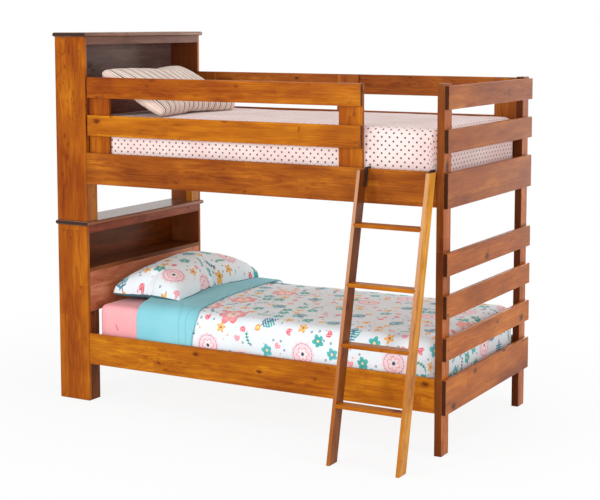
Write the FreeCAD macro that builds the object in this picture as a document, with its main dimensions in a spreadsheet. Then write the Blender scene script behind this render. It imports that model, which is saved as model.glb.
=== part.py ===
"""Twin-over-twin bunk bed in pine: two bookcase beds stacked on pins, with guard rails and a hook-on ladder.

All pieces are laid out in the bed frame: X runs from the bookcase to the foot with zero at the face of the
bookcase, Y from the ladder side to the wall side with zero at the front of the bookcase, Z up from the floor.
Each piece is then placed in the part frame, whose origin is at the bottom centre of the whole bed.
"""
import FreeCAD, Part
import math
import os
from types import SimpleNamespace

import Sketcher
from FreeCAD import Vector

os.makedirs("parts", exist_ok=True)
doc = FreeCAD.newDocument("bunk_bed")

SIZES = {
    # Whole bed
    "rail_length": 1950,
    "bed_width": 1060,
    "stack_height": 940,
    "edge_radius": 3,
    "overrun": 2,
    # Boards
    "wide_board": 160,
    "narrow_board": 105,
    "board_gap": 88,
    "rail_thickness": 20,
    "rail_recess": 3,
    "rail_floor_gap": 196,
    "slat_thickness": 20,
    "slat_floor_gap": 193,
    # Bookcase
    "case_depth": 190,
    "side_board": 19,
    "upper_side_height": 946,
    "cap_thickness": 22,
    "cap_radius": 9,
    "cap_front_overhang": 14,
    "cap_end_overhang": 12,
    "cap_back_overhang": 4,
    "case_post_thickness": 36,
    "case_post_width": 73,
    "apron_height": 40,
    "apron_thickness": 19,
    "shelf_height": 676,
    "shelf_thickness": 20,
    "housing_depth": 6,
    "housing_stop": 16,
    "face_panel_height": 207,
    "face_panel_thickness": 19,
    "back_panel_thickness": 6,
    "back_rebate": 9,
    # Foot end
    "foot_post_thickness": 36,
    "foot_post_width": 82,
    "upper_foot_post_height": 748,
    # Pins between the bunks
    "pin_diameter": 12,
    "pin_rise": 38,
    "pin_clearance": 0.6,
    "pin_end_clearance": 4,
    # Bed base
    "deck_height": 310,
    "bed_slat_thickness": 19,
    "bed_slat_width": 70,
    "bed_slat_spacing": 145,
    "bed_slat_end_gap": 2,
    "cleat_height": 38,
    "cleat_thickness": 32,
    "cleat_end_gap": 70,
    "cleat_slat_margin": 5,
    "bracket_leg": 58,
    "bracket_thickness": 3,
    "bracket_height": 96,
    "bracket_lift": 8,
    "bracket_bend": 2,
    # Guard rails
    "guard_gap": 9,
    "entry_length": 381,
    "guard_post_width": 124,
    "guard_post_thickness": 19,
    "guard_post_lift": 4,
    # Ladder
    "ladder_width": 358,
    "ladder_post_gap": 3,
    "ladder_spread": 291,
    "ladder_rail_clearance": 0.5,
    "stile_thickness": 18,
    "stile_foot_length": 75,
    "first_tread": 266,
    "tread_spacing": 264,
    "tread_depth": 60,
    "tread_thickness": 18,
    "tread_housing": 6,
    "hook_thickness": 4,
    "hook_bar": 8,
    "hook_drop": 40,
    "hook_leg": 80,
    "hook_leg_width": 30,
    "hook_clearance": 0.6,
    "hook_radius": 3,
    # Mattresses and bedding
    "mattress_head_gap": 28,
    "mattress_foot_gap": 22,
    "mattress_side_gap": 26,
    "lower_mattress_height": 196,
    "upper_mattress_height": 226,
    "mattress_corner": 60,
    "mattress_edge": 22,
    "cover_clearance": 0.5,
    "comforter_thickness": 12,
    "comforter_side": 11,
    "comforter_start": 290,
    "comforter_turn_back": 310,
    "comforter_fold_rise": 4,
    "comforter_crown": 8,
    "comforter_shoulder": 56,
    "comforter_hem_lift": 16,
    "coverlet_thickness": 6,
    "coverlet_side": 4,
    "coverlet_crown": 5,
    "coverlet_start": 30,
    "coverlet_shoulder": 40,
    "coverlet_hem_lift": 14,
    # Pillows
    "lower_pillow_side_room": 172,
    "lower_pillow_width": 404,
    "lower_pillow_height": 176,
    "lower_pillow_x": 228,
    "lower_pillow_offset": 65,
    "lower_pillow_turn": 3,
    "lower_pillow_tilt": 0,
    "lower_pillow_settle": 1.6,
    "upper_pillow_side_room": 272,
    "upper_pillow_width": 440,
    "upper_pillow_height": 156,
    "upper_pillow_x": 212,
    "upper_pillow_offset": -110,
    "upper_pillow_turn": 0,
    "upper_pillow_tilt": 27,
    "upper_pillow_settle": 0,
    "pillow_seam": 8,
    "pillow_clearance": 0.3,
}

sheet = doc.addObject("Spreadsheet::Sheet", "Sizes")
for row, (alias, number) in enumerate(SIZES.items(), start=1):
    sheet.set(f"A{row}", str(number))
    sheet.setAlias(f"A{row}", alias)
doc.recompute()


class Size:
    """A length with its number and the spreadsheet expression that it comes from."""

    def __init__(self, text, number):
        self.text = text
        self.number = number

    def join(self, sign, other, number):
        return Size(f"({self.text} {sign} {size(other).text})", number)

    def __add__(self, other):
        return self.join("+", other, self.number + size(other).number)

    def __sub__(self, other):
        return self.join("-", other, self.number - size(other).number)

    def __mul__(self, other):
        return self.join("*", other, self.number * size(other).number)

    def __truediv__(self, other):
        return self.join("/", other, self.number / size(other).number)

    def __neg__(self):
        return Size(f"(0 - {self.text})", -self.number)


def size(item):
    """Turns a plain count or share into a Size, and leaves a Size as it is."""
    return item if isinstance(item, Size) else Size(repr(item), item)


s = SimpleNamespace(**{alias: Size(f"Sizes.{alias}", float(sheet.get(alias))) for alias in SIZES})
ZERO = size(0)

# Places in the bed frame that several pieces share
rail_back = s.rail_recess + s.rail_thickness
rail_inside_width = s.bed_width - rail_back * 2
foot_post_x = s.rail_length
foot_slat_x = foot_post_x + s.foot_post_thickness
upper_rail_top = s.stack_height + s.rail_floor_gap + s.wide_board
case_inner_width = s.bed_width - s.side_board * 2
lower_side_height = s.stack_height - s.cap_thickness
mattress_length = s.rail_length - s.mattress_head_gap - s.mattress_foot_gap
mattress_width = rail_inside_width - s.mattress_side_gap * 2
ladder_front = s.ladder_spread + s.stile_foot_length + s.ladder_rail_clearance - s.rail_recess
origin_x = (foot_slat_x + s.slat_thickness - s.case_depth - s.cap_back_overhang) / 2
origin_y = (s.bed_width + s.cap_end_overhang - ladder_front) / 2

# Guard rails: heights of the boards and places of the posts
guard_board_z = [upper_rail_top + s.board_gap, upper_rail_top + s.board_gap * 2 + s.narrow_board]
guard_top = guard_board_z[1] + s.narrow_board
guard_length = s.rail_length - s.guard_gap - s.entry_length
guard_post_z = s.stack_height + s.deck_height + s.guard_post_lift
guard_posts = {
    "front": {"left": s.guard_gap, "right": s.guard_gap + guard_length - s.guard_post_width},
    "back": {
        "head": s.guard_gap,
        "middle": (s.rail_length - s.guard_post_width) / 2,
        "foot": s.rail_length - s.guard_gap - s.guard_post_width,
    },
}
# Sketch plane for each axis, with the sign of its normal
PLANES = {"X": ("YZ_Plane", 1), "Y": ("XZ_Plane", -1), "Z": ("XY_Plane", 1)}
pieces = []


def bind(item, field, length):
    """Ties a property to the spreadsheet."""
    item.setExpression(field, length.text)


def place(item, x, y, z):
    """Puts a piece's own origin at a point of the bed frame."""
    bind(item, "Placement.Base.x", size(x) - origin_x)
    bind(item, "Placement.Base.y", size(y) - origin_y)
    bind(item, "Placement.Base.z", size(z))


def new_body(name, x, y, z):
    body = doc.addObject("PartDesign::Body", name)
    body.Label = name
    place(body, x, y, z)
    return body


def keep(item):
    """Marks a finished sub-part to be written out."""
    pieces.append(item)
    return item


def pin_point(sketch, element, vertex, x, y):
    """Holds one sketch point at its named distances from the sketch's origin."""
    for kind, length, axis in (("DistanceX", x, -2), ("DistanceY", y, -1)):
        if length.number == 0:
            sketch.addConstraint(Sketcher.Constraint("PointOnObject", element, vertex, axis))
        else:
            index = sketch.addConstraint(Sketcher.Constraint(kind, -1, 1, element, vertex, length.number))
            bind(sketch, f"Constraints[{index}]", length)


def new_sketch(body, axis, start):
    """A sketch square to an axis, at a named distance along it."""
    role, sign = PLANES[axis]
    plane = next(item for item in body.Origin.OriginFeatures if item.Role == role)
    sketch = body.newObject("Sketcher::SketchObject", f"{body.Name}_sketch")
    sketch.AttachmentSupport = [(plane, "")]
    sketch.MapMode = "FlatFace"
    bind(sketch, "AttachmentOffset.Base.z", start * sign)
    return sketch


def polygons(body, axis, loops, start):
    """A sketch of closed outlines whose corners are pairs of named lengths."""
    sketch = new_sketch(body, axis, start)
    for loop in loops:
        points = [(size(x), size(y)) for x, y in loop]
        first = sketch.GeometryCount
        for index, (x, y) in enumerate(points):
            next_x, next_y = points[(index + 1) % len(points)]
            line = Part.LineSegment(Vector(x.number, y.number, 0), Vector(next_x.number, next_y.number, 0))
            sketch.addGeometry(line, False)
        for index, (x, y) in enumerate(points):
            following = first + (index + 1) % len(points)
            sketch.addConstraint(Sketcher.Constraint("Coincident", first + index, 2, following, 1))
            pin_point(sketch, first + index, 1, x, y)
    return sketch


def circles(body, axis, centres, diameter, start):
    """A sketch of equal circles."""
    sketch = new_sketch(body, axis, start)
    for element, (x, y) in enumerate(centres):
        x, y = size(x), size(y)
        shape = Part.Circle(Vector(x.number, y.number, 0), Vector(0, 0, 1), diameter.number / 2)
        sketch.addGeometry(shape, False)
        index = sketch.addConstraint(Sketcher.Constraint("Diameter", element, diameter.number))
        bind(sketch, f"Constraints[{index}]", diameter)
        pin_point(sketch, element, 3, x, y)
    return sketch


def rectangle(low_x, low_y, high_x, high_y):
    return [(low_x, low_y), (high_x, low_y), (high_x, high_y), (low_x, high_y)]


def pad(body, axis, sketch, depth):
    """Adds material from the sketch along the positive axis."""
    feature = body.newObject("PartDesign::Pad", f"{body.Name}_pad")
    feature.Profile = sketch
    feature.Reversed = PLANES[axis][1] < 0
    bind(feature, "Length", depth)
    doc.recompute()
    return feature


def cut(body, axis, sketch, depth):
    """Takes material away from the sketch along the positive axis."""
    before = body.Shape.Volume
    feature = body.newObject("PartDesign::Pocket", f"{body.Name}_cut")
    feature.Profile = sketch
    feature.Reversed = PLANES[axis][1] > 0
    bind(feature, "Length", depth)
    doc.recompute()
    if not body.Shape.Volume < before:
        raise RuntimeError(f"{feature.Name} cuts nothing")
    return feature


def dress(body, kind, field, chosen, span):
    """Puts a fillet or a chamfer on the chosen edges of a body."""
    base = body.Tip
    names = [f"Edge{i}" for i, edge in enumerate(base.Shape.Edges, start=1) if chosen(edge)]
    feature = body.newObject(f"PartDesign::{kind}", f"{body.Name}_ease")
    feature.Base = (base, names)
    bind(feature, field, span)
    doc.recompute()


def ease(body, chosen, radius):
    """Rounds the chosen edges of a body."""
    dress(body, "Fillet", "Radius", chosen, radius)


def bevel(body, chosen, width):
    """Takes the corner off the chosen edges of a body."""
    dress(body, "Chamfer", "Size", chosen, width)


# How far two unit directions may cross and still count as parallel
PARALLEL = 0.01


def along(axis):
    """Picks the straight edges that run with an axis."""
    direction = {"X": Vector(1, 0, 0), "Y": Vector(0, 1, 0), "Z": Vector(0, 0, 1)}[axis]

    def chosen(edge):
        return isinstance(edge.Curve, Part.Line) and edge.Curve.Direction.cross(direction).Length < PARALLEL

    return chosen


def board(name, axis, corner, spans, radius=None):
    """A planed board: its low corner, its three spans, and the axis that its grain and eased edges follow."""
    body = new_body(name, *corner)
    x, y, z = (size(span) for span in spans)
    width, height, run = {"X": (y, z, x), "Y": (x, z, y), "Z": (x, y, z)}[axis]
    sketch = polygons(body, axis, [rectangle(ZERO, ZERO, width, height)], ZERO)
    pad(body, axis, sketch, run)
    if radius is not None:
        ease(body, along(axis), radius)
    return body


def group(name, members):
    """One node made of like, separate solids."""
    compound = doc.addObject("Part::Compound", name)
    compound.Label = name
    compound.Links = members
    doc.recompute()
    return keep(compound)


def solid_feature(name, shape, x, y, z):
    """A sub-part whose shape is made from lofts."""
    feature = doc.addObject("Part::Feature", name)
    feature.Label = name
    feature.Shape = shape
    place(feature, x, y, z)
    return keep(feature)


def bunk_pin_places():
    """Centres of the four pins: in the two bookcase legs and in the two foot posts."""
    head_x = -s.case_post_thickness / 2
    head_y = s.side_board + s.case_post_width / 2
    foot_x = foot_post_x + s.foot_post_thickness / 2
    foot_y = s.foot_post_width / 2
    head = [(head_x, head_y), (head_x, s.bed_width - head_y)]
    return head + [(foot_x, foot_y), (foot_x, s.bed_width - foot_y)]


pin_bore = s.pin_diameter + s.pin_clearance
pin_bore_depth = s.pin_rise + s.pin_end_clearance


def bore_up(body, x, y):
    """A blind bore in a post's foot, for the pin below it."""
    sketch = circles(body, "Z", [(x, y)], pin_bore, -s.overrun)
    cut(body, "Z", sketch, pin_bore_depth + s.overrun)


def bore_down(body, x, y, top, depth):
    """A pin's seat, sunk from a top face."""
    sketch = circles(body, "Z", [(x, y)], s.pin_diameter, top - depth)
    cut(body, "Z", sketch, depth + s.overrun)


def make_case_side(name, base, height, y, inner_low):
    """A bookcase end: a full-height board with a stopped housing for the shelf and a rebate for the back."""
    face = s.side_board - s.housing_depth if inner_low else -s.overrun
    body = board(name, "Z", (-s.case_depth, y, base), (s.case_depth, s.side_board, height), s.edge_radius)
    shelf_top = s.shelf_height + s.shelf_thickness
    housing = rectangle(-s.overrun, s.shelf_height, s.case_depth - s.housing_stop, shelf_top)
    cut(body, "Y", polygons(body, "Y", [housing], face), s.housing_depth + s.overrun)
    face = s.side_board - s.back_rebate if inner_low else -s.overrun
    panel_foot = s.shelf_height - s.face_panel_height
    rebate = rectangle(-s.overrun, panel_foot, s.back_panel_thickness, height + s.overrun)
    cut(body, "Y", polygons(body, "Y", [rebate], face), s.back_rebate + s.overrun)
    return keep(body)


def make_case_post(name, base, y, bored):
    """A leg behind the face panel, notched at its top so that the panel lies flush with it."""
    corner = (-s.case_post_thickness, y, base)
    body = board(name, "Z", corner, (s.case_post_thickness, s.case_post_width, s.shelf_height), s.edge_radius)
    notch_x = s.case_post_thickness - s.face_panel_thickness
    panel_foot = s.shelf_height - s.face_panel_height
    notch = rectangle(notch_x, panel_foot, s.case_post_thickness + s.overrun, s.shelf_height + s.overrun)
    cut(body, "Y", polygons(body, "Y", [notch], -s.overrun), s.case_post_width + s.overrun * 2)
    if bored:
        bore_up(body, s.case_post_thickness / 2, s.case_post_width / 2)
    return keep(body)


def make_shelf(name, base):
    """The shelf: it runs in the side housings and stops short of their ends, so its front is narrower."""
    depth = s.case_depth - s.back_panel_thickness
    body = new_body(name, -depth, s.side_board - s.housing_depth, base + s.shelf_height)
    step_x = depth - s.housing_stop
    wide = case_inner_width + s.housing_depth * 2
    narrow_high = wide - s.housing_depth
    outline = [(0, 0), (step_x, 0), (step_x, s.housing_depth), (depth, s.housing_depth)]
    outline += [(depth, narrow_high), (step_x, narrow_high), (step_x, wide), (0, wide)]
    pad(body, "Z", polygons(body, "Z", [outline], ZERO), s.shelf_thickness)
    return keep(body)


def make_cap(name, base, seats):
    """A case top with a rounded nose on all four sides."""
    length = s.bed_width + s.cap_end_overhang * 2
    depth = s.case_depth + s.cap_back_overhang + s.cap_front_overhang
    low_x = -s.case_depth - s.cap_back_overhang
    body = new_body(name, low_x, -s.cap_end_overhang, base)
    pad(body, "Z", polygons(body, "Z", [rectangle(ZERO, ZERO, depth, length)], ZERO), s.cap_thickness)
    upright = along("Z")
    ease(body, lambda edge: not upright(edge), s.cap_radius)
    for x, y in seats:
        bore_down(body, x - low_x, y + s.cap_end_overhang, s.cap_thickness, s.cap_thickness)
    return keep(body)


def make_bookcase(prefix, base, side_height, bored, seats):
    """One bookcase headboard: two ends, two legs, cap, apron, shelf, face panel and back panel."""
    back_y = s.bed_width - s.side_board
    make_case_side(f"{prefix}_case_side_front", base, side_height, ZERO, True)
    make_case_side(f"{prefix}_case_side_back", base, side_height, back_y, False)
    make_case_post(f"{prefix}_case_post_front", base, s.side_board, bored)
    make_case_post(f"{prefix}_case_post_back", base, back_y - s.case_post_width, bored)
    make_cap(f"{prefix}_case_cap", base + side_height, seats)
    apron_corner = (-s.apron_thickness, s.side_board, base + side_height - s.apron_height)
    apron_spans = (s.apron_thickness, case_inner_width, s.apron_height)
    keep(board(f"{prefix}_case_apron", "Y", apron_corner, apron_spans, s.edge_radius / 2))
    make_shelf(f"{prefix}_case_shelf", base)
    panel_z = base + s.shelf_height - s.face_panel_height
    panel_corner = (-s.face_panel_thickness, s.side_board, panel_z)
    panel_spans = (s.face_panel_thickness, case_inner_width, s.face_panel_height)
    keep(board(f"{prefix}_case_face_panel", "Y", panel_corner, panel_spans, s.edge_radius / 2))
    back_corner = (-s.case_depth, s.side_board - s.back_rebate, panel_z)
    back_height = side_height - s.shelf_height + s.face_panel_height
    back_spans = (s.back_panel_thickness, case_inner_width + s.back_rebate * 2, back_height)
    keep(board(f"{prefix}_case_back_panel", "X", back_corner, back_spans))


def make_foot_posts(prefix, base, height, bored):
    """Foot posts: the lower pair carries pins in its top, the upper pair is bored for them."""
    for side, y in (("front", ZERO), ("back", s.bed_width - s.foot_post_width)):
        spans = (s.foot_post_thickness, s.foot_post_width, height)
        body = board(f"{prefix}_foot_post_{side}", "Z", (foot_post_x, y, base), spans, s.edge_radius)
        centre = (s.foot_post_thickness / 2, s.foot_post_width / 2)
        if bored:
            bore_up(body, *centre)
        else:
            bore_down(body, *centre, height, s.cap_thickness)
        keep(body)


def make_foot_slats(prefix, base, narrow_count):
    """Flat slats across the outside of the foot posts: a wide one at rail height and narrow ones above."""
    bottom = base + s.slat_floor_gap
    height = s.wide_board
    for number in range(narrow_count + 1):
        corner = (foot_slat_x, ZERO, bottom)
        spans = (s.slat_thickness, s.bed_width, height)
        keep(board(f"{prefix}_foot_slat_{number + 1}", "Y", corner, spans, s.edge_radius))
        bottom = bottom + height + s.board_gap
        height = s.narrow_board


def bracket_outline(turn_x, turn_y):
    """An angle in plan, turned into one of the four corners of the bed base."""
    leg, wall = s.bracket_leg, s.bracket_thickness
    corners = [(0, 0), (leg, 0), (leg, wall), (wall, wall), (wall, leg), (0, leg)]
    return [(size(x) * turn_x, size(y) * turn_y) for x, y in corners]


def make_bed_base(prefix, base):
    """Side rails, the cleats inside them, the cross slats on the cleats, and the corner brackets."""
    rail_z = base + s.rail_floor_gap
    rails = (("front", s.rail_recess), ("back", s.bed_width - rail_back))
    for side, y in rails:
        spans = (s.rail_length, s.rail_thickness, s.wide_board)
        keep(board(f"{prefix}_side_rail_{side}", "X", (ZERO, y, rail_z), spans, s.edge_radius))
    slat_z = base + s.deck_height - s.bed_slat_thickness
    cleat_length = s.rail_length - s.cleat_end_gap * 2
    cleats = []
    for side, y in (("front", rail_back), ("back", s.bed_width - rail_back - s.cleat_thickness)):
        corner = (s.cleat_end_gap, y, slat_z - s.cleat_height)
        spans = (cleat_length, s.cleat_thickness, s.cleat_height)
        cleats.append(board(f"{prefix}_cleat_{side}", "X", corner, spans))
    group(f"{prefix}_slat_cleats", cleats)
    first = s.cleat_end_gap + s.cleat_slat_margin
    room = cleat_length - s.cleat_slat_margin * 2 - s.bed_slat_width
    gaps = math.ceil(room.number / s.bed_slat_spacing.number)
    slats = []
    for number in range(gaps + 1):
        slat_x = first + room * number / gaps
        corner = (slat_x, rail_back + s.bed_slat_end_gap, slat_z)
        spans = (s.bed_slat_width, rail_inside_width - s.bed_slat_end_gap * 2, s.bed_slat_thickness)
        slats.append(board(f"{prefix}_bed_slat_{number + 1}", "Y", corner, spans))
    group(f"{prefix}_bed_slats", slats)
    brackets = []
    for turn_x, x in ((1, ZERO), (-1, s.rail_length)):
        for turn_y, y in ((1, rail_back), (-1, s.bed_width - rail_back)):
            name = f"{prefix}_bracket_{len(brackets) + 1}"
            body = new_body(name, x, y, rail_z + s.bracket_lift)
            sketch = polygons(body, "Z", [bracket_outline(turn_x, turn_y)], ZERO)
            pad(body, "Z", sketch, s.bracket_height)
            bend = s.bracket_thickness.number
            upright = along("Z")

            def inner_bend(edge):
                point = edge.Vertexes[0].Point
                at_bend = math.isclose(abs(point.x), bend) and math.isclose(abs(point.y), bend)
                return upright(edge) and at_bend

            ease(body, inner_bend, s.bracket_bend)
            brackets.append(body)
    group(f"{prefix}_rail_brackets", brackets)


def make_pins():
    """Four turned pins standing in the lower bunk."""
    pins = []
    for x, y in bunk_pin_places():
        body = new_body(f"bunk_pin_{len(pins) + 1}", x, y, s.stack_height - s.cap_thickness)
        sketch = circles(body, "Z", [(ZERO, ZERO)], s.pin_diameter, ZERO)
        pad(body, "Z", sketch, s.cap_thickness + s.pin_rise)
        pins.append(body)
    group("bunk_pins", pins)


def make_guards():
    """Guard rails of the upper bunk: boards on upright posts inside the rails."""
    board_y = {"front": s.rail_recess, "back": s.bed_width - rail_back}
    post_y = {"front": rail_back, "back": s.bed_width - rail_back - s.guard_post_thickness}
    board_x = {"front": s.guard_gap, "back": ZERO}
    length = {"front": guard_length, "back": s.rail_length}
    for side, places in guard_posts.items():
        for level, z in zip(("lower", "upper"), guard_board_z):
            spans = (length[side], s.rail_thickness, s.narrow_board)
            corner = (board_x[side], board_y[side], z)
            keep(board(f"{side}_guard_board_{level}", "X", corner, spans, s.edge_radius))
        for label, x in places.items():
            spans = (s.guard_post_width, s.guard_post_thickness, guard_top - guard_post_z)
            corner = (x, post_y[side], guard_post_z)
            keep(board(f"{side}_guard_post_{label}", "Z", corner, spans, s.edge_radius))


def ladder_y(height):
    """Y of the stiles' front edge at a height: a straight lean from the floor to the rail's top."""
    return s.ladder_spread * (height / upper_rail_top) - ladder_front


def make_stile(name, x, housing_start):
    """A ladder side: leaning, cut level at foot and top, and housed on its inner face for the treads."""
    body = new_body(name, x, ZERO, ZERO)
    outline = [(-ladder_front, ZERO), (-ladder_front + s.stile_foot_length, ZERO)]
    top_front = ladder_y(upper_rail_top)
    outline += [(top_front + s.stile_foot_length, upper_rail_top), (top_front, upper_rail_top)]
    pad(body, "X", polygons(body, "X", [outline], ZERO), s.stile_thickness)

    def long_edge(edge):
        return edge.Length > upper_rail_top.number

    ease(body, long_edge, s.edge_radius)
    housings = [
        rectangle(ladder_y(top) - s.overrun, top - s.tread_thickness, ladder_y(top) + s.tread_depth, top)
        for top in tread_tops()
    ]
    cut(body, "X", polygons(body, "X", housings, housing_start), s.tread_housing + s.overrun)
    return keep(body)


def tread_tops():
    """Heights of the treads' tops: evenly spaced from the first, all below the rail's top."""
    tops = []
    top = s.first_tread
    while top.number < upper_rail_top.number:
        tops.append(top)
        top = top + s.tread_spacing
    return tops


def make_hook(name, x):
    """A flat steel plate on a stile's inner face that reaches over the rail and down behind it."""
    body = new_body(name, x, ZERO, ZERO)
    under = upper_rail_top + s.hook_clearance
    over = under + s.hook_bar
    behind = rail_back + s.hook_clearance
    leg_foot = upper_rail_top - s.hook_leg
    leg_back = ladder_y(leg_foot) + s.stile_foot_length - s.hook_clearance
    throat = s.rail_recess - s.ladder_rail_clearance
    outline = [
        (leg_back - s.hook_leg_width, leg_foot),
        (leg_back, leg_foot),
        (throat, under),
        (behind, under),
        (behind, upper_rail_top - s.hook_drop),
        (behind + s.hook_bar, upper_rail_top - s.hook_drop),
        (behind + s.hook_bar, over),
        (throat - s.hook_leg_width, over),
    ]
    pad(body, "X", polygons(body, "X", [outline], ZERO), s.hook_thickness)
    rounded = (outline[0], outline[4], outline[5], outline[6], outline[7])

    def outer_corner(edge):
        middle = edge.CenterOfMass
        near = (abs(middle.y - y.number) + abs(middle.z - z.number) < s.overrun.number for y, z in rounded)
        return along("X")(edge) and any(near)

    ease(body, outer_corner, s.hook_radius)
    return body


def make_ladder():
    right_x = s.rail_length - s.ladder_post_gap - s.stile_thickness
    left_x = s.rail_length - s.ladder_post_gap - s.ladder_width
    make_stile("ladder_stile_left", left_x, s.stile_thickness - s.tread_housing)
    make_stile("ladder_stile_right", right_x, -s.overrun)
    inner = right_x - left_x - s.stile_thickness
    treads = []
    for number, top in enumerate(tread_tops(), start=1):
        corner = (left_x + s.stile_thickness - s.tread_housing, ladder_y(top), top - s.tread_thickness)
        spans = (inner + s.tread_housing * 2, s.tread_depth, s.tread_thickness)
        treads.append(board(f"ladder_tread_{number}", "X", corner, spans, s.edge_radius))
    group("ladder_treads", treads)
    left_hook = make_hook("ladder_hook_left", left_x + s.stile_thickness)
    right_hook = make_hook("ladder_hook_right", right_x - s.hook_thickness)
    group("ladder_hooks", [left_hook, right_hook])


def make_mattress(name, base, height):
    """A mattress in its fitted sheet, with round corners in plan and softened edges."""
    corner_y = rail_back + s.mattress_side_gap
    body = new_body(name, s.mattress_head_gap, corner_y, base + s.deck_height)
    outline = rectangle(ZERO, ZERO, mattress_length, mattress_width)
    pad(body, "Z", polygons(body, "Z", [outline], ZERO), height)
    ease(body, along("Z"), s.mattress_corner)

    def top_edge(edge):
        return edge.CenterOfMass.z > height.number - s.overrun.number

    bevel(body, top_edge, s.mattress_edge)
    return keep(body)


def arc(start, middle, end):
    return Part.Arc(Vector(*start), Vector(*middle), Vector(*end)).toShape()


def cover_section(x, half_width, bottom, top, shoulder, crown):
    """A cross-section of a bed cover: straight sides, round shoulders and a slightly crowned top."""
    side_top = top - crown - shoulder
    flat = half_width - shoulder
    corner = shoulder * (1 - math.sqrt(0.5))
    left_mid = (x, -half_width + corner, side_top + shoulder - corner)
    right_mid = (x, half_width - corner, side_top + shoulder - corner)
    edges = [
        Part.makeLine(Vector(x, half_width, bottom), Vector(x, half_width, side_top)),
        arc((x, half_width, side_top), right_mid, (x, flat, side_top + shoulder)),
        arc((x, flat, side_top + shoulder), (x, 0, top), (x, -flat, side_top + shoulder)),
        arc((x, -flat, side_top + shoulder), left_mid, (x, -half_width, side_top)),
        Part.makeLine(Vector(x, -half_width, side_top), Vector(x, -half_width, bottom)),
        Part.makeLine(Vector(x, -half_width, bottom), Vector(x, half_width, bottom)),
    ]
    return Part.Wire(edges)


def mattress_hollow(height):
    """The room that a mattress takes up inside its cover, with clearance all round."""
    gap = s.cover_clearance.number
    length = mattress_length.number + gap * 2
    width = mattress_width.number + gap * 2
    block = Part.makeBox(length, width, height + gap, Vector(-gap, -width / 2, 0))
    upright = along("Z")
    block = block.makeFillet(s.mattress_corner.number, [edge for edge in block.Edges if upright(edge)])
    top = [edge for edge in block.Edges if edge.CenterOfMass.z > height]
    return block.makeChamfer(s.mattress_edge.number, top)


def bed_cover(stations, mattress_height):
    """A cover lofted through its sections, hollowed out over the mattress that it lies on."""
    outer = Part.makeLoft([cover_section(*station) for station in stations], True, True)
    return outer.cut(mattress_hollow(mattress_height))


# How far a cover drops at its foot end, as a share of its shoulder, and what that leaves of its shape
FOOT_DROP_SHARE = 0.55
FOOT_TUCK_SHARE = 0.25
FOOT_CROWN_SHARE = 0.3


def foot_end(half_width, bottom, top, shoulder, crown):
    """The lower and narrower section at a cover's foot end."""
    drop = shoulder * FOOT_DROP_SHARE
    return (half_width - drop * FOOT_TUCK_SHARE, bottom, top - drop, drop, crown * FOOT_CROWN_SHARE)


def make_comforter():
    """The lower bed's comforter, with its top end turned back in a second, higher layer."""
    height = s.lower_mattress_height.number
    half = mattress_width.number / 2 + s.comforter_side.number
    bottom = s.comforter_hem_lift.number
    top = height + s.comforter_thickness.number
    rise = s.comforter_fold_rise.number
    crown, shoulder = s.comforter_crown.number, s.comforter_shoulder.number
    start = s.comforter_start.number - s.mattress_head_gap.number
    fold = start + s.comforter_turn_back.number
    end = mattress_length.number + s.comforter_side.number
    plain = (half, bottom, top + crown, shoulder, crown)
    folded = (half + rise / 2, bottom, top + crown + rise, shoulder, crown)
    low = foot_end(half, bottom, top, shoulder, crown)
    stations = [(start, *folded), (fold, *folded), (fold + rise * 2, *plain)]
    stations += [(end - shoulder, *plain), (end, *low)]
    shape = bed_cover(stations, height)
    solid_feature("lower_comforter", shape, s.mattress_head_gap, s.bed_width / 2, s.deck_height)


def make_coverlet():
    """The upper bed's coverlet: thin, close to the mattress and tucked in all round."""
    height = s.upper_mattress_height.number
    half = mattress_width.number / 2 + s.coverlet_side.number
    bottom = s.coverlet_hem_lift.number
    crown, shoulder = s.coverlet_crown.number, s.coverlet_shoulder.number
    top = height + s.coverlet_thickness.number
    start = s.coverlet_start.number - s.mattress_head_gap.number
    end = mattress_length.number + s.coverlet_side.number
    plain = (half, bottom, top + crown, shoulder, crown)
    low = foot_end(half, bottom, top, shoulder, crown)
    stations = [(start, *plain), (end - shoulder, *plain), (end, *low)]
    shape = bed_cover(stations, height)
    base = s.stack_height + s.deck_height
    solid_feature("upper_coverlet", shape, s.mattress_head_gap, s.bed_width / 2, base)


# How much of a pillow's fullness lies below its seam, and how much fuller it is along than across
PILLOW_BELLY_SHARE = 0.12
PILLOW_LENGTHWISE_SHARE = 1.25


def pillow_bar(half, fullness, length):
    """A bar along Y with a lens section: an upper arc over a flatter lower arc, and a short seam edge."""
    seam = s.pillow_seam.number
    rise = fullness * (1 - PILLOW_BELLY_SHARE)
    belly = fullness * PILLOW_BELLY_SHARE
    start = -length / 2
    edges = [
        arc((half, start, seam), (0, start, seam + rise), (-half, start, seam)),
        Part.makeLine(Vector(-half, start, seam), Vector(-half, start, 0)),
        arc((-half, start, 0), (0, start, -belly), (half, start, 0)),
        Part.makeLine(Vector(half, start, 0), Vector(half, start, seam)),
    ]
    return Part.Face(Part.Wire(edges)).extrude(Vector(0, length, 0))


def make_pillow(length, width, height, tilt):
    """A stuffed pillow: full in the middle and thin at its seam, as two crossed lens bars share it."""
    fullness = height.number - s.pillow_seam.number
    across = pillow_bar(width.number / 2, fullness, length.number)
    lengthwise = pillow_bar(length.number / 2, fullness * PILLOW_LENGTHWISE_SHARE, length.number)
    lengthwise.rotate(Vector(0, 0, 0), Vector(0, 0, 1), 90)
    shape = across.common(lengthwise)
    shape.rotate(Vector(0, 0, 0), Vector(0, 1, 0), tilt.number)
    return shape


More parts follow.
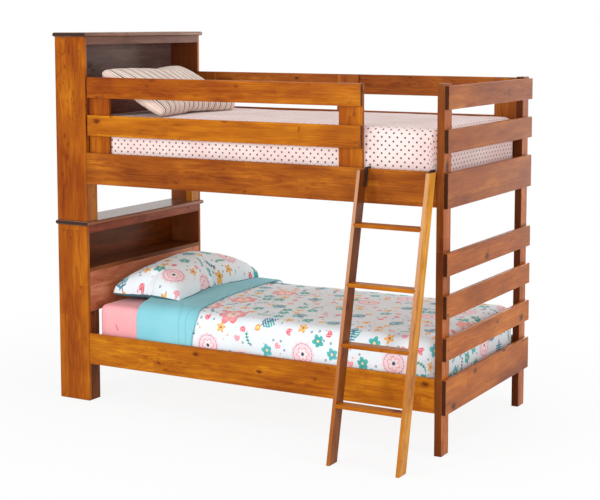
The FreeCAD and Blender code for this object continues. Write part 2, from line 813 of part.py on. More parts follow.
def make_pillows():
    """Both pillows: the lower one lies on its bed, the upper one leans on the bookcase."""
    beds = {
        "lower": s.deck_height + s.lower_mattress_height + s.comforter_thickness + s.comforter_crown
        + s.comforter_fold_rise,
        "upper": s.stack_height + s.deck_height + s.upper_mattress_height + s.coverlet_thickness
        + s.coverlet_crown,
    }
    for prefix, bed_top in beds.items():
        length = mattress_width - getattr(s, f"{prefix}_pillow_side_room")
        width = getattr(s, f"{prefix}_pillow_width")
        height = getattr(s, f"{prefix}_pillow_height")
        tilt = getattr(s, f"{prefix}_pillow_tilt")
        turn = getattr(s, f"{prefix}_pillow_turn")
        shape = make_pillow(length, width, height, tilt)
        shape.rotate(Vector(0, 0, 0), Vector(0, 0, 1), turn.number)
        settle = getattr(s, f"{prefix}_pillow_settle")
        lift = bed_top - shape.optimalBoundingBox(False, False).ZMin + s.pillow_clearance - settle
        x = getattr(s, f"{prefix}_pillow_x")
        y = s.bed_width / 2 + getattr(s, f"{prefix}_pillow_offset")
        solid_feature(f"{prefix}_pillow", shape, x, y, lift)


def make_bed():
    head_seats = bunk_pin_places()[:2]
    make_bookcase("lower", ZERO, lower_side_height, False, head_seats)
    make_bookcase("upper", s.stack_height, s.upper_side_height, True, [])
    make_foot_posts("lower", ZERO, s.stack_height, False)
    make_foot_posts("upper", s.stack_height, s.upper_foot_post_height, True)
    make_foot_slats("lower", ZERO, 3)
    make_foot_slats("upper", s.stack_height, 2)
    make_bed_base("lower", ZERO)
    make_bed_base("upper", s.stack_height)
    make_pins()
    make_guards()
    make_ladder()
    make_mattress("lower_mattress", ZERO, s.lower_mattress_height)
    make_mattress("upper_mattress", s.stack_height, s.upper_mattress_height)
    make_comforter()
    make_coverlet()
    make_pillows()


def write_parts():
    """Checks every object and sub-part, then writes one STEP file for each sub-part."""
    doc.recompute()
    for item in doc.Objects:
        if "Invalid" in item.State or "Error" in item.State:
            raise RuntimeError(f"{item.Name} failed: {item.State}")
    for piece in pieces:
        if piece.Shape.isNull() or not piece.Shape.isValid():
            raise RuntimeError(f"{piece.Label} has no valid shape")
    for piece in pieces:
        piece.Shape.exportStep(f"parts/{piece.Label}.step")
    print(len(pieces), "sub-parts written")


make_bed()
write_parts()
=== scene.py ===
"""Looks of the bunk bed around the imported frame: stained pine, steel fittings, mattresses and bedding."""

import math
import random

import bpy
import numpy as np
from mathutils import Matrix, Vector, noise


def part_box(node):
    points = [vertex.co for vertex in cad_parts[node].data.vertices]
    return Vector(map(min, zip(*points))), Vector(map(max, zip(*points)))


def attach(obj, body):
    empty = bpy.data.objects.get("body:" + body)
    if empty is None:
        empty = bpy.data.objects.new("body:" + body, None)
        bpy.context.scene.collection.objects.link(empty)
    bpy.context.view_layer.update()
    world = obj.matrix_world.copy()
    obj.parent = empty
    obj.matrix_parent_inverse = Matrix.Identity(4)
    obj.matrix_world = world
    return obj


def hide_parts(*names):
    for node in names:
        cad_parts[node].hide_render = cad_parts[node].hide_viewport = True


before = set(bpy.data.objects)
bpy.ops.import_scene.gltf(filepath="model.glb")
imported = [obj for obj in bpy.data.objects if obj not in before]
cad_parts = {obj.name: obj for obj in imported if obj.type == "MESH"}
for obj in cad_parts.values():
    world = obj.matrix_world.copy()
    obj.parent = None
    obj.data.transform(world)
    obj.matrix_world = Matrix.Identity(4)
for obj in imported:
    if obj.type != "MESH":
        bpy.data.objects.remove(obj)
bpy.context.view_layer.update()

# The bed's own origin: sizes below are millimetres from the bookcase's face, the front and the floor
ORIGIN = Vector((0.906, 0.35425, 0.0))


def at(x, y, z):
    """A point of the bed frame, in millimetres, as a point of the scene."""
    return Vector((x, y, z)) / 1000 - ORIGIN


WHITE = (1.0, 1.0, 1.0, 1.0)
SCENE = bpy.context.scene


def linear(code):
    """A colour written as sRGB hex, as the linear colour that shaders take."""
    parts = [int(code[i : i + 2], 16) / 255 for i in (0, 2, 4)]
    return tuple(c / 12.92 if c <= 0.04045 else ((c + 0.055) / 1.055) ** 2.4 for c in parts) + (1.0,)


def put(target, **values):
    """Sets several properties of one thing."""
    for name, value in values.items():
        setattr(target, name, value)


def new_object(name, data):
    item = bpy.data.objects.new(name, data)
    SCENE.collection.objects.link(item)
    return item


def shaded(colour, share, lift=0.0):
    """A linear colour times a share, lifted a little towards white."""
    return tuple(min(1.0, share * c + lift) for c in colour[:3]) + (1.0,)


# Camera
FRAME_WIDTH_PIXELS = 600
FOCAL_LENGTH_PIXELS = 1419.814
SENSOR_WIDTH = 36
# how far it looks down, and round to the left, in degrees
PITCH = 6.201
HEADING = 29.248
camera_data = bpy.data.cameras.new("camera")
camera = new_object("camera", camera_data)
SCENE.camera = camera
put(camera_data, sensor_width=SENSOR_WIDTH, shift_y=-0.12, clip_end=60,
    lens=FOCAL_LENGTH_PIXELS / FRAME_WIDTH_PIXELS * SENSOR_WIDTH)
camera.location = at(4485.552, -5770.537, 1952.016)
camera.rotation_euler = (math.radians(90 - PITCH), 0, math.radians(HEADING))


# Shader building
def maths(operation):
    """A method that adds one maths node."""
    return lambda self, *values: self.math(operation, *values)


class Graph:
    """Adds shader nodes to a tree. Any input may be given as a number, a colour or a socket."""

    plus, less = maths("ADD"), maths("SUBTRACT")
    # a value times a factor, plus a shift
    scaled = maths("MULTIPLY_ADD")
    ratio, power = maths("DIVIDE"), maths("POWER")
    size, floor = maths("ABSOLUTE"), maths("FLOOR")
    sine, cosine = maths("SINE"), maths("COSINE")
    wrap, zigzag = maths("FLOORED_MODULO"), maths("PINGPONG")
    over, under = maths("GREATER_THAN"), maths("LESS_THAN")
    greatest = maths("MAXIMUM")

    def __init__(self, tree):
        self.tree = tree

    def add(self, kind, given=None, **settings):
        item = self.tree.nodes.new("ShaderNode" + kind)
        put(item, **settings)
        for name, value in (given or {}).items():
            socket = item.inputs[name]
            if isinstance(value, bpy.types.NodeSocket):
                self.tree.links.new(value, socket)
            else:
                socket.default_value = value
        return item

    def math(self, operation, *values, clamp=False):
        item = self.add("Math", dict(enumerate(values)), operation=operation, use_clamp=clamp)
        return item.outputs[0]

    def vector(self, operation, *values):
        item = self.add("VectorMath", dict(enumerate(values)), operation=operation)
        return item.outputs["Value" if operation in ("LENGTH", "DOT_PRODUCT", "DISTANCE") else "Vector"]

    def step(self, value, low, high):
        """0 below low, 1 above high, and smooth between."""
        item = self.add("MapRange", {"Value": value, "From Min": low, "From Max": high},
                        interpolation_type="SMOOTHSTEP")
        return item.outputs[0]

    def below(self, value, limit, soft=0.0007):
        """1 under the limit and 0 over it, with a soft edge."""
        if isinstance(limit, float):
            low, high = limit - soft, limit + soft
        else:
            low, high = self.less(limit, soft), self.plus(limit, soft)
        return self.less(1.0, self.step(value, low, high))

    def near(self, value, reach, middle=None, soft=0.0007):
        """1 where a value lies within a reach of the middle, or of zero, with a soft edge."""
        if middle is not None:
            value = self.less(value, middle)
        return self.below(self.size(value), reach, soft)

    def product(self, *values):
        result = values[0]
        for value in values[1:]:
            result = self.math("MULTIPLY", result, value)
        return result

    def among(self, value, low, high):
        return self.product(self.over(value, low), self.under(value, high))

    def mix(self, factor, first, second):
        """Blends two colours, each a socket, a colour or a hex code."""
        first, second = (linear(given) if isinstance(given, str) else given for given in (first, second))
        return self.add("Mix", {0: factor, 6: first, 7: second}, data_type="RGBA").outputs[2]

    def combine(self, x, y, z=0.0):
        return self.add("CombineXYZ", {0: x, 1: y, 2: z}).outputs[0]

    def split(self, vector):
        return self.add("SeparateXYZ", {0: vector}).outputs

    def noise(self, vector, scale, detail=2.0, roughness=0.5, distortion=0.0):
        """Soft noise; three scales stretch it along the axes."""
        if isinstance(scale, tuple):
            vector = self.vector("MULTIPLY", vector, scale)
            scale = 1.0
        item = self.add("TexNoise", {"Vector": vector, "Scale": scale, "Detail": detail,
                                     "Roughness": roughness, "Distortion": distortion})
        return item.outputs["Fac"]

    def centred(self, colour, reach):
        """A random colour as a shift, up to half of each reach to either side."""
        return self.vector("MULTIPLY", self.vector("SUBTRACT", colour, (0.5, 0.5, 0.5)), reach)

    def cloth_place(self):
        return self.add("UVMap", uv_map="cloth").outputs[0]

    def turn(self, vector, angle):
        item = self.add("VectorRotate", {"Vector": vector, "Angle": angle}, rotation_type="Z_AXIS")
        return item.outputs[0]

    def ramp(self, factor, stops):
        item = self.add("ValToRGB", {0: factor})
        elements = item.color_ramp.elements
        while len(elements) < len(stops):
            elements.new(0.5)
        for element, (position, colour) in zip(elements, stops):
            element.position = position
            element.color = linear(colour)
        return item.outputs[0]


def new_material(name):
    material = bpy.data.materials.new(name)
    material.use_nodes = True
    material.node_tree.nodes.clear()
    return material, Graph(material.node_tree)


def finish_material(g, looks, bump, strength, distance, normal=None):
    """Ends a material with one shader, its own values set on its own sockets, and a fine relief."""
    relief = {"Height": bump, "Strength": strength, "Distance": distance}
    if normal is not None:
        relief["Normal"] = normal
    looks = looks | {"Normal": g.add("Bump", relief).outputs[0]}
    shader = g.add("BsdfPrincipled", looks)
    g.add("OutputMaterial", {"Surface": shader.outputs[0]})


# Pine
def pine_figure():
    """The figure of a pine board: x of its vector runs with the grain, y across the width, z through it."""
    tree = bpy.data.node_groups.new("pine_figure", "ShaderNodeTree")
    tree.interface.new_socket("Vector", in_out="INPUT", socket_type="NodeSocketVector")
    for name in ("Tone", "Knot", "Fibre", "Ring"):
        tree.interface.new_socket(name, in_out="OUTPUT", socket_type="NodeSocketFloat")
    g = Graph(tree)
    board = tree.nodes.new("NodeGroupInput").outputs[0]
    strip_width = 0.083
    stave_length = 0.74
    ring_width = 0.0065
    # boards are glued up from strips of long staves, each with a grain of its own and nearly the same tone
    run, across, _ = g.split(board)
    strip = g.floor(g.ratio(across, strip_width))
    stave = g.floor(g.scaled(strip, 0.39, g.ratio(run, stave_length)))
    dice = g.add("TexWhiteNoise", {"Vector": g.combine(stave, strip)}, noise_dimensions="2D").outputs
    source = g.vector("MULTIPLY_ADD", dice["Color"], (7.0, 0.03, 0.03), board)
    run, across, _ = g.split(source)
    # the grain sways a little along the board
    stretched = g.vector("MULTIPLY", source, (2.4, 9.0, 9.0))
    sway = g.add("TexNoise", {"Vector": stretched, "Scale": 1.0, "Detail": 2.0}).outputs["Color"]
    swayed = g.vector("ADD", source, g.centred(sway, (0.0, 0.035, 0.035)))

    def smudges(scale, shift, seldom, least, spread, ragged):
        """Knots: spots on the face, each with its own size, and none in most cells."""
        spot = {"Vector": g.combine(g.scaled(run, 0.62, shift), across), "Scale": scale}
        cells = g.add("TexVoronoi", spot, voronoi_dimensions="2D").outputs
        distance = g.ratio(cells["Distance"], scale)
        luck, size, _ = g.split(cells["Color"])
        present = g.step(luck, seldom, seldom + 0.03)
        frayed = g.scaled(g.noise(source, 90.0, 3.0, 0.6), ragged, -0.5 * ragged)
        radius = g.scaled(size, spread, least)
        reach = g.ratio(g.plus(distance, frayed), radius)
        inside = g.less(1.0, g.step(reach, 0.0, 1.7))
        return g.product(inside, present), distance, present

    large, distance, present = smudges(5.2, shift=0.0, seldom=0.7, least=0.008, spread=0.011, ragged=0.026)
    small, _, _ = smudges(17.0, shift=3.7, seldom=0.82, least=0.003, spread=0.006, ragged=0.013)
    cluster = g.step(g.noise(source, (1.7, 5.0, 5.0), 1.0), 0.42, 0.62)
    knot = g.greatest(g.product(large, 0.8), g.product(small, cluster, 0.55))
    # resin spreads in ragged red blotches where knots crowd
    crowd = g.step(g.noise(source, (2.2, 7.0, 7.0), 2.0), 0.54, 0.68)
    blotch = g.step(g.noise(source, (26.0, 60.0, 60.0), 4.0, 0.7), 0.5, 0.66)
    knot = g.greatest(knot, g.product(blotch, crowd, 0.42))
    # yearly rings round a pith below the board, pushed aside by the knots
    swell = g.power(g.ratio(distance, 0.028), 2.0)
    swell = g.math("EXPONENT", g.product(swell, -1.0))
    flat = g.vector("MULTIPLY", swayed, (0.0, 1.0, 1.0))
    reach = g.scaled(g.product(swell, present), 0.012, g.vector("LENGTH", flat))
    turns = g.scaled(g.noise(source, 6.0, 3.0), 2.6, g.ratio(reach, ring_width))
    part = g.math("FRACT", turns)
    ring = g.product(g.power(part, 2.0), g.less(1.0, g.step(part, 0.84, 1.0)))
    fibre = g.noise(swayed, (9.0, 260.0, 260.0), 4.0, 0.65)
    cloud = g.noise(board, (4.2, 26.0, 26.0), 4.0, 0.6, 0.5)
    broad = g.noise(board, (2.6, 6.5, 6.5), 3.0, 0.55, 0.4)
    streak = g.noise(swayed, (2.6, 85.0, 85.0), 3.0, 0.6)
    # the tone adds up from a share of each of them
    tone = -0.865
    shares = ((cloud, 0.7), (dice["Value"], 0.15), (broad, 0.95), (streak, 0.5), (fibre, 0.24), (ring, 0.2))
    for figure, share in shares:
        tone = g.scaled(figure, share, tone)
    output = tree.nodes.new("NodeGroupOutput")
    for name, socket in (("Tone", tone), ("Knot", knot), ("Fibre", fibre), ("Ring", ring)):
        tree.links.new(socket, output.inputs[name])
    return tree


PINE = pine_figure()
AXES = {"X": (1, 0, 0), "Y": (0, 1, 0), "Z": (0, 0, 1)}
# Light, plain, streak, deep and burnt tones of each stain
STAINS = {
    "honey": "BE7218 A05310 883D0E 642A0A 481A0B",
    "golden": "CE8618 B06412 964D10 72340C 4E1F0C",
    "amber": "C07220 9A5216 803C11 5C260C 44190B",
    "slat": "B46A24 964E18 803C12 5E2A0C 2E140C",
    "low_slat": "CA7822 AA5A18 904812 6A2E0C 361810",
    "post": "C87430 A8581E 8A4216 441A0B 28110A",
    "russet": "B8722E 9A521E 823E16 5E280D 34160B",
    "red": "AC5228 8E3C1C 742E14 581F0D 32160E",
    # painted reflection of the pink sheet: a paler, pinker stain for the lower face panel
    "face": "DC9C7A C67A58 AA5E40 84402C 4A2418",
    "plum": "7E5648 6A4436 58382C 42281E 281612",
    # painted shade and a painted sheen: the upper back panel, inside its bookcase
    "umber": "886C66 765A55 624A44 45312B 1E1310",
    # painted shade: the lower back panel, inside its bookcase
    "dark": "874017 6D330F 58270B 401907 1E0E08",
    "cap": "9C6E58 846050 6C4A3C 4A2E24 201210",
    "low_cap": "9C6E58 846050 6C4A3C 904A24 201210",
    "gold": "ECAE4C CE8A30 AC6822 80441A 46220F",
    # painted shade: a darker copy of the ladder's pine for its left stile
    "stile": "DC9650 B67030 94501E 602808 28120A",
    # painted shade: a darker copy of the pine for the shelf and the lower bookcase's posts
    "shade": "94562A 784020 603018 44200F 28120A",
    "raw": "E3C490 D8B47C C79F66 A97E48 7D5529",
}
# The amber lacquer warms what it mirrors straight on
LACQUER_TINT = (1.0, 0.72, 0.48, 1.0)
# Painted shade on the faces of the bookcase sides that look inwards
INNER_PAINTED_SHADE = "764028"
# Which broad face of a bookcase side looks inwards and takes the painted shade: 1 the far one, -1 the near
# one
INWARD = {"side_front": 1, "side_back": -1}
# Painted highlight on the ladder's narrow faces, pale towards the top
STILE_PAINTED_HIGHLIGHT = "B88C70"


def pine_material(name, low, high, grain, stain, face_shade, seed, lean=0.0, inside=0):
    """Lacquered pine for one board: its own stretch of the log, dark end grain, and rubbed edges with a
    painted highlight.

    low and high are its box, lean is how far it is tilted, and inside says which broad face looks into a
    bookcase and takes painted shade, as in INWARD, or 0 for none.
    """
    material, g = new_material(name)
    draw = random.Random(seed)
    centre = (Vector(low) + Vector(high)) / 2
    axes = Matrix([AXES[letter] for letter in grain])
    rows = axes @ Matrix.Rotation(lean, 3, "X")
    place = g.add("TexCoord").outputs
    shifted = g.vector("SUBTRACT", place["Object"], tuple(centre))
    coordinates = [g.vector("DOT_PRODUCT", shifted, tuple(row)) for row in rows]
    # where in the log the board was sawn: along it, and beside and below its pith
    sawn = (draw.uniform(-20, 20), draw.uniform(-0.05, 0.05), draw.choice((-1, 1)) * draw.uniform(0.04, 0.1))
    vector = g.vector("ADD", g.combine(*coordinates), sawn)
    figure = g.add("Group", {"Vector": vector}, node_tree=PINE).outputs
    tone, knot, fibre, ring = (figure[key] for key in ("Tone", "Knot", "Fibre", "Ring"))
    light, plain, streak, deep, burnt = STAINS[stain].split()
    colour = g.ramp(tone, ((0.08, light), (0.4, plain), (0.66, streak), (0.95, deep)))
    colour = g.mix(g.math("MULTIPLY", knot, 1.5, clamp=True), colour, deep)
    colour = g.mix(g.math("MULTIPLY_ADD", knot, 1.6, -0.7, clamp=True), colour, burnt)
    # lacquer gathers dark at the sawn ends
    half = (axes @ (Vector(high) - Vector(low))).x / 2
    if not lean:
        inset = g.less(half, g.size(coordinates[0]))
        colour = g.mix(g.product(g.below(inset, 0.0022, 0.0016), 0.75), colour, burnt)

    def facing(row):
        """1 on the faces that look along an axis of the board."""
        cosine = g.vector("DOT_PRODUCT", place["Normal"], tuple(row))
        return g.step(g.size(cosine), 0.55, 0.85)

    if lean:
        upward = g.step(coordinates[0], -0.5, 0.35)
    # painted shade: one pair of faces darkened, on the ladder more towards its top
    if face_shade:
        painted_face_shade = g.product(facing(rows[1] if face_shade > 0 else rows[2]), abs(face_shade))
        if lean:
            painted_face_shade = g.product(painted_face_shade, g.scaled(upward, 0.35, 0.65))
        colour = g.mix(painted_face_shade, colour, deep)
    # painted shade on the broad face that looks into a bookcase
    if inside:
        inner = g.product(facing(rows[2]), g.over(g.product(coordinates[2], inside), 0.0), 0.75)
        colour = g.mix(inner, colour, INNER_PAINTED_SHADE)
    # painted highlight on the ladder's narrow faces: pale at the top, the streak tone lower down
    if lean:
        painted_highlight_tone = g.mix(upward, streak, STILE_PAINTED_HIGHLIGHT)
        colour = g.mix(g.product(facing(rows[1]), 0.75), colour, painted_highlight_tone)
    colour = g.mix(g.product(facing(rows[0]), 0.82), colour, burnt)
    # lacquer rubbed thin along the edges, and a painted highlight along them
    rounded = g.add("Bevel", {"Radius": 0.0034}, samples=4).outputs[0]
    turned = g.vector("DOT_PRODUCT", rounded, g.add("NewGeometry").outputs["True Normal"])
    wear_and_highlight = g.step(g.noise(vector, 30.0), 0.3, 0.6)
    wear_and_highlight = g.product(g.less(1.0, g.step(turned, 0.8, 0.995)), wear_and_highlight, 0.8)
    colour = g.mix(wear_and_highlight, colour, shaded(linear(light), 1.2, lift=0.05))
    roughness = g.scaled(fibre, 0.18, 0.14 if "cap" in stain else 0.24)
    # the caps shine, and the boards much less
    gloss = 0.36 if "cap" in stain else 0.12
    height = g.scaled(knot, -0.4, g.product(fibre, 0.6))
    height = g.scaled(ring, -0.2, height)
    looks = {"Base Color": colour, "Roughness": roughness}
    looks |= {"Specular IOR Level": gloss, "Specular Tint": LACQUER_TINT}
    finish_material(g, looks, height, strength=0.14, distance=0.0006, normal=rounded)
    return material


# How far the ladder's feet stand out from its head, and its height
LADDER_SPREAD = 291
LADDER_HEIGHT = 1296
LEAN = math.atan(LADDER_SPREAD / LADDER_HEIGHT)
# What a node's name holds, with its grain (the axes along, across and through the board), its stain and, for
# some, how much painted shade darkens its edge faces, or its broad faces where less than zero; the first
# match wins
WOOD = (
    ("lower_case_cap", "YXZ", "low_cap", 0.75),
    ("case_cap", "YXZ", "cap"),
    # painted shade on both back panels, and a painted sheen on the upper one
    ("upper_case_back_panel", "YZX", "umber"),
    ("back_panel", "YZX", "dark"),
    ("upper_case_apron", "YZX", "plum"),
    ("apron", "YZX", "red"),
    # painted shade on the shelf
    ("shelf", "YXZ", "shade"),
    # painted reflection of the pink sheet on the lower face panel
    ("lower_case_face_panel", "YZX", "face"),
    ("face_panel", "YZX", "red"),
    ("cleat", "XZY", "raw"),
    ("bed_slats", "YXZ", "raw"),
    ("case_side", "ZXY", "honey"),
    # painted shade: the lower bookcase's posts darker than the upper ones
    ("lower_case_post", "ZYX", "shade"),
    ("case_post", "ZYX", "golden"),
    ("foot_post_back", "ZYX", "post", 0.9),
    ("upper_foot_post", "ZYX", "post", 0.6),
    ("foot_post", "ZYX", "post", 0.72),
    ("lower_foot_slat", "YZX", "low_slat"),
    ("foot_slat", "YZX", "slat"),
    ("back_guard_board", "XZY", "russet"),
    ("back_guard_post", "ZXY", "russet"),
    ("guard_post", "ZXY", "honey", 0.3),
    ("guard_board_lower", "XZY", "golden"),
    ("guard_board", "XZY", "honey"),
    # painted shade: the left stile darker than the right one, its broad faces more
    ("stile_left", "ZYX", "stile", -0.85),
    ("stile", "ZYX", "gold"),
    ("treads", "XYZ", "golden"),
    ("upper_side_rail", "XZY", "amber"),
    ("side_rail", "XZY", "golden"),
)


def metal_material(name, colour, metallic, roughness, grain):
    """Zinc or enamelled steel with a fine uneven surface."""
    material, g = new_material(name)
    place = g.add("TexCoord").outputs["Object"]
    cloud = g.noise(place, grain, 4.0, 0.6)
    speck = g.noise(place, grain * 14, 2.0, 0.5)
    tint = g.mix(cloud, colour, shaded(linear(colour), 0.72))
    rough = g.scaled(cloud, 0.25, roughness)
    looks = {"Base Color": tint, "Metallic": metallic, "Roughness": rough}
    finish_material(g, looks, speck, strength=0.15, distance=0.0004)
    return material


def dress_frame():
    """Gives every rigid node of the frame its own wood or steel."""
    for index, (node, item) in enumerate(sorted(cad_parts.items())):
        looks = [look for look in WOOD if look[0] in node]
        if looks:
            _, grain, stain, face_shade = (looks[0] + (0.0,))[:4]
            low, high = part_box(node)
            lean = LEAN if "stile" in node else 0.0
            inside = next((way for side, way in INWARD.items() if side in node), 0)
            seed = 100 + index
            made = pine_material("pine_" + node, low, high, grain, stain, face_shade, seed, lean, inside)
        elif "hooks" in node:
            made = metal_material("hook_enamel", "33231B", 0.25, 0.42, 60.0)
        else:
            made = metal_material("zinc_" + node, "A9ABAC", 0.95, 0.28, 45.0)
        item.data.materials.clear()
        item.data.materials.append(made)


dress_frame()


# Mesh building
def mesh_piece(name, points, faces, uvs=None):
    """A smooth-shaded mesh in the scene, with a UV for each point, for each corner of each face, or none."""
    data = bpy.data.meshes.new(name)
    data.from_pydata([tuple(p) for p in points], [], faces)
    if uvs is not None:
        layer = data.uv_layers.new(name="cloth")
        if len(uvs) == len(points):
            uvs = [uvs[i] for face in faces for i in face]
        for corner, uv in zip(layer.data, uvs):
            corner.uv = uv
    data.shade_smooth()
    return new_object(name, data)


def grid_faces(rows, columns):
    """Quads over a grid of points that is stored row by row."""
    return [
        (r * columns + c, r * columns + c + 1, (r + 1) * columns + c + 1, (r + 1) * columns + c)
        for r in range(rows - 1)
        for c in range(columns - 1)
    ]


def woven(name, rows):
    """A sheet through rows of points, each point with its UV."""
    points, uvs = zip(*[pair for row in rows for pair in row])
    return mesh_piece(name, points, grid_faces(len(rows), len(rows[0])), uvs)


def apply_modifiers(item):
    """Makes an object's modifiers part of its mesh."""
    graph = bpy.context.evaluated_depsgraph_get()
    made = bpy.data.meshes.new_from_object(item.evaluated_get(graph))
    item.modifiers.clear()
    item.data = made
    made.shade_smooth()


def subdivide(item):
    put(item.modifiers.new("smooth", "SUBSURF"), levels=1, render_levels=1)
    apply_modifiers(item)


def thicken(item, thickness):
    """Turns a sheet into cloth of a real thickness, inwards from the drawn surface, and smooths it."""
    put(item.modifiers.new("solid", "SOLIDIFY"), thickness=thickness, offset=-1)
    subdivide(item)


def ripple(point, scale, seed):
    """Smooth noise between about -1 and 1, with a scale in millimetres."""
    return noise.noise(Vector(point) / scale + Vector((seed, seed * 0.7, -seed * 0.4)))


def fill_with_air(item, pressure, frames, most, share):
    """Puffs a closed cloth by simulation; each point stays near its start and keeps a share of its way."""
    start = np.array([v.co for v in item.data.vertices])
    cloth = item.modifiers.new("cloth", "CLOTH")
    put(cloth.settings, quality=6, mass=0.2, use_pressure=True, uniform_pressure_force=pressure,
        tension_stiffness=40, compression_stiffness=12, shear_stiffness=8, bending_stiffness=0.6)
    cloth.settings.effector_weights.gravity = 0
    put(cloth.collision_settings, use_collision=False, use_self_collision=False)
    put(cloth.point_cache, frame_start=1, frame_end=frames)
    for number in range(1, frames + 1):
        SCENE.frame_set(number)
    apply_modifiers(item)
    SCENE.frame_set(1)
    moved = np.array([v.co for v in item.data.vertices]) - start
    lengths = np.linalg.norm(moved, axis=1, keepdims=True)
    moved *= np.minimum(1.0, most / np.maximum(lengths, 1e-9)) * share
    item.data.vertices.foreach_set("co", (start + moved).ravel())
    item.data.update()


def dress_soft(item, body, slot, fill, *materials, node=None):
    """Gives a soft piece its materials and its body, and hides the node that it replaces; slot and fill are
    not used.
    """
    for material in materials:
        item.data.materials.append(material)
    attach(item, body)
    if node:
        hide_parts(node)


# Mattresses
def soft_block(name, low, high, radius, spacing, wrinkle, seed):
    """A closed block with round edges and a slightly uneven skin, in millimetres of the bed frame."""
    spans = [h - l for l, h in zip(low, high)]
    counts = [max(2, round(span / spacing)) for span in spans]
    points, faces, found = [], [], {}

    def vertex(*key):
        if key not in found:
            found[key] = len(points)
            raw = Vector([l + span * n / count for l, span, n, count in zip(low, spans, key, counts)])
            core = Vector([min(max(v, l + radius), h - radius) for v, l, h in zip(raw, low, high)])
            normal = (raw - core).normalized()
            hollow, crease = ripple(raw, 260, seed), ripple(raw, 90, seed + 3)
            dent = wrinkle * (hollow + 0.5 * crease - 0.8)
            bottom = raw.z < low[2] + radius
            points.append(core + normal * (radius + (0 if bottom else dent)))
        return found[key]

    for axis in range(3):
        first, second = [n for n in range(3) if n != axis]
        for end in (0, counts[axis]):
            for i in range(counts[first]):
                for j in range(counts[second]):
                    quad = []
                    for di, dj in ((0, 0), (1, 0), (1, 1), (0, 1)):
                        key = [0, 0, 0]
                        key[axis], key[first], key[second] = end, i + di, j + dj
                        quad.append(vertex(*key))
                    outward = bool(end) != (axis == 1)
                    faces.append(quad if outward else quad[::-1])
    return mesh_piece(name, [at(*p) for p in points], faces)


# Cotton
def finish_cotton(g, colour, place, thread=0.0009, crease=18.0, depth=0.0014):
    """Ends a cotton material: a plain weave, fine creases and a soft sheen."""
    u, v, _ = g.split(place)
    turn = math.tau / (2 * thread)
    wave = g.product(*(g.sine(g.product(along, turn)) for along in (u, v)))
    weave = g.scaled(wave, 0.5, 0.5)
    colour = g.mix(g.product(weave, 0.07), colour, WHITE)
    height = g.scaled(weave, 0.1, g.noise(place, crease, 3.0, 0.5))
    looks = {"Base Color": colour, "Roughness": 0.86, "Specular IOR Level": 0.25}
    looks |= {"Sheen Weight": 0.1, "Sheen Roughness": 0.5}
    finish_material(g, looks, height, strength=0.3, distance=depth)


def sheet_material(name, light, shade, trim=None):
    """Plain cotton with soft clouds of shade; trim may be a function that adds to its colour."""
    material, g = new_material(name)
    place = g.add("TexCoord").outputs["Object"]
    cloud = g.noise(place, 3.0, 3.0, 0.5)
    colour = g.mix(g.step(cloud, 0.3, 0.75), light, shade)
    if trim:
        colour = trim(g, colour, place)
    x, y, z = g.split(place)
    finish_cotton(g, colour, g.combine(g.plus(x, z), g.plus(y, z)))
    return material


def sprigs_and_ticking(g, colour, place):
    """Small magenta sprigs low on the sides, and the cream mattress cover at the head end."""
    x, y, z = g.split(place)
    side = g.combine(g.plus(x, y), z)
    cells = g.add("TexVoronoi", {"Vector": side, "Scale": 13.0, "Randomness": 0.8}, voronoi_dimensions="2D")
    luck, twist, _ = g.split(cells.outputs["Color"])
    angle = g.scaled(twist, 1.2, 1.0)
    a, b, _ = g.split(g.turn(g.vector("SUBTRACT", side, cells.outputs["Position"]), angle))
    comb = g.zigzag(g.plus(a, 0.5), 0.0055)
    lines = g.greatest(g.near(b, 0.0011), g.near(g.size(b), 0.0012, comb))
    sprig = g.product(lines, g.near(a, 0.017), g.near(b, 0.008), g.under(luck, 0.5), g.below(z, 0.415))
    colour = g.mix(sprig, colour, "D8407A")
    head = at(42, 0, 0).x
    edge = g.scaled(g.noise(place, 9.0), 0.012, x)
    return g.mix(g.below(edge, head, 0.003), colour, "E6DCC4")


PINK = sheet_material("pink_cotton", "FAB0B2", "F2A0A6", sprigs_and_ticking)
PINK_PLAIN = sheet_material("plain_pink_cotton", "F4DCDC", "EECFD0")


def mattress(name, bottom, top, seed):
    low, high = (29, 50, bottom), (1927, 1010, top)
    return soft_block(name, low, high, radius=32, spacing=24, wrinkle=2.0, seed=seed)


lower_mattress = mattress("lower_mattress_in_sheet", 310.3, 505, seed=1)
upper_mattress = mattress("upper_mattress_in_sheet", 1250.3, 1475, seed=5)
dress_soft(lower_mattress, "lower_bunk", "pink_sheet", 0.95, PINK, node="lower_mattress")
dress_soft(upper_mattress, "upper_bunk", "dot_cotton", 0.95, PINK_PLAIN, node="upper_mattress")


# Bed covers
# The bed's middle line, measured from its front
MIDDLE = 530
# Over what lengths a cover swells: its hollows, the dents in them, and creases that run across the bed
HOLLOWS, DENTS, CREASES = 330, 140, 60


